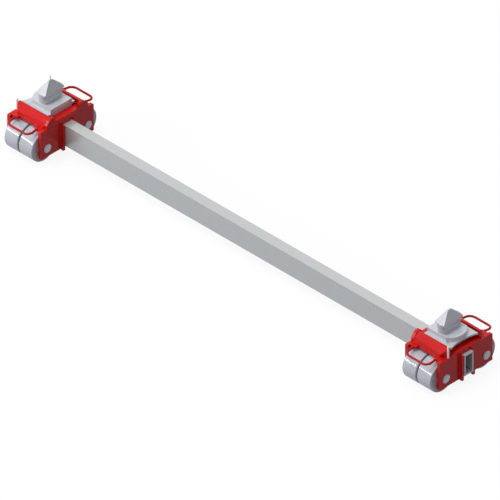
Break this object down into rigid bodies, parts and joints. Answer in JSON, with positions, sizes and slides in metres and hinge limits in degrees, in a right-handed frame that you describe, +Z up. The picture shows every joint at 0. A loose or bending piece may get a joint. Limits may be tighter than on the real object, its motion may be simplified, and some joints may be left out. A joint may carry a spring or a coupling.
{
  "type": "container skate spreader beam",
  "caption": "Pair of roller skates with twist cones for container corners, joined by a rectangular spreader beam.",
  "frame": {"origin": "on the floor, midway between the two skates", "axes": "+X along the beam, +Y the rolling direction, +Z up"},
  "size_m": [2.485, 0.3844, 0.327],
  "materials": {
    "red_paint": "gloss",
    "handle_paint": "gloss",
    "beam_steel": "satin grey",
    "adapter_steel": "satin grey",
    "axle_steel": "turned",
    "zinc_steel": "zinc plated",
    "polished_steel": "polished",
    "bearing_bronze": "machined",
    "roller_nylon": "smooth"
  },
  "bodies": {
    "beam": {"beam": "beam_steel"},
    "left_skate": {"left_inner_side_plate": "red_paint", "left_outer_side_plate": "red_paint", "left_deck": "red_paint", "left_front_cover": "red_paint", "left_rear_cover": "red_paint", "left_guide_strips": "red_paint", "left_beam_saddle": "red_paint", "left_clamp_screws": "zinc_steel", "left_front_handle": "handle_paint", "left_rear_handle": "handle_paint", "left_front_axle": "axle_steel", "left_rear_axle": "axle_steel", "left_axle_rings": "zinc_steel", "left_axle_spacers": "zinc_steel", "left_pedestal": "adapter_steel", "left_adapter_plate": "adapter_steel", "left_adapter_bolts": "zinc_steel", "left_lock_pin": "polished_steel", "left_seat": "adapter_steel"},
    "left_twist_cone": {"left_cone": "adapter_steel", "left_cone_nut": "zinc_steel", "left_tip_pin": "zinc_steel"},
    "left_front_inner_wheel": {"left_front_inner_roller": "roller_nylon", "left_front_bearings_inner": "bearing_bronze"},
    "left_front_outer_wheel": {"left_front_outer_roller": "roller_nylon", "left_front_bearings_outer": "bearing_bronze"},
    "left_rear_inner_wheel": {"left_rear_inner_roller": "roller_nylon", "left_rear_bearings_inner": "bearing_bronze"},
    "left_rear_outer_wheel": {"left_rear_outer_roller": "roller_nylon", "left_rear_bearings_outer": "bearing_bronze"},
    "right_skate": {"right_inner_side_plate": "red_paint", "right_outer_side_plate": "red_paint", "right_deck": "red_paint", "right_front_cover": "red_paint", "right_rear_cover": "red_paint", "right_guide_strips": "red_paint", "right_beam_saddle": "red_paint", "right_clamp_screws": "zinc_steel", "right_front_handle": "handle_paint", "right_rear_handle": "handle_paint", "right_front_axle": "axle_steel", "right_rear_axle": "axle_steel", "right_axle_rings": "zinc_steel", "right_axle_spacers": "zinc_steel", "right_pedestal": "adapter_steel", "right_adapter_plate": "adapter_steel", "right_adapter_bolts": "zinc_steel", "right_lock_pin": "polished_steel", "right_seat": "adapter_steel"},
    "right_twist_cone": {"right_cone": "adapter_steel", "right_cone_nut": "zinc_steel"},
    "right_front_inner_wheel": {"right_front_inner_roller": "roller_nylon", "right_front_bearings_inner": "bearing_bronze"},
    "right_front_outer_wheel": {"right_front_outer_roller": "roller_nylon", "right_front_bearings_outer": "bearing_bronze"},
    "right_rear_inner_wheel": {"right_rear_inner_roller": "roller_nylon", "right_rear_bearings_inner": "bearing_bronze"},
    "right_rear_outer_wheel": {"right_rear_outer_roller": "roller_nylon", "right_rear_bearings_outer": "bearing_bronze"}
  },
  "joints": [
    {"name": "left_skate_slide", "type": "slide", "parent": "beam", "child": "left_skate", "axis": [1, 0, 0], "range_m": [-0.01, 0.6]},
    {"name": "left_cone_turn", "type": "hinge", "parent": "left_skate", "child": "left_twist_cone", "pos_m": [-1.1295, 0, 0.24], "axis": [0, 0, 1], "range_deg": [0, 90]},
    {"name": "left_front_inner_roll", "type": "hinge", "parent": "left_skate", "child": "left_front_inner_wheel", "pos_m": [-1.088, -0.115, 0.07], "axis": [1, 0, 0], "continuous": true},
    {"name": "left_front_outer_roll", "type": "hinge", "parent": "left_skate", "child": "left_front_outer_wheel", "pos_m": [-1.171, -0.115, 0.07], "axis": [1, 0, 0], "continuous": true},
    {"name": "left_rear_inner_roll", "type": "hinge", "parent": "left_skate", "child": "left_rear_inner_wheel", "pos_m": [-1.088, 0.115, 0.07], "axis": [1, 0, 0], "continuous": true},
    {"name": "left_rear_outer_roll", "type": "hinge", "parent": "left_skate", "child": "left_rear_outer_wheel", "pos_m": [-1.171, 0.115, 0.07], "axis": [1, 0, 0], "continuous": true},
    {"name": "right_skate_slide", "type": "slide", "parent": "beam", "child": "right_skate", "axis": [-1, 0, 0], "range_m": [-0.01, 0.6]},
    {"name": "right_cone_turn", "type": "hinge", "parent": "right_skate", "child": "right_twist_cone", "pos_m": [1.1295, 0, 0.24], "axis": [0, 0, 1], "range_deg": [0, 90]},
    {"name": "right_front_inner_roll", "type": "hinge", "parent": "right_skate", "child": "right_front_inner_wheel", "pos_m": [1.088, -0.115, 0.07], "axis": [1, 0, 0], "continuous": true},
    {"name": "right_front_outer_roll", "type": "hinge", "parent": "right_skate", "child": "right_front_outer_wheel", "pos_m": [1.171, -0.115, 0.07], "axis": [1, 0, 0], "continuous": true},
    {"name": "right_rear_inner_roll", "type": "hinge", "parent": "right_skate", "child": "right_rear_inner_wheel", "pos_m": [1.088, 0.115, 0.07], "axis": [1, 0, 0], "continuous": true},
    {"name": "right_rear_outer_roll", "type": "hinge", "parent": "right_skate", "child": "right_rear_outer_wheel", "pos_m": [1.171, 0.115, 0.07], "axis": [1, 0, 0], "continuous": true}
  ]
}
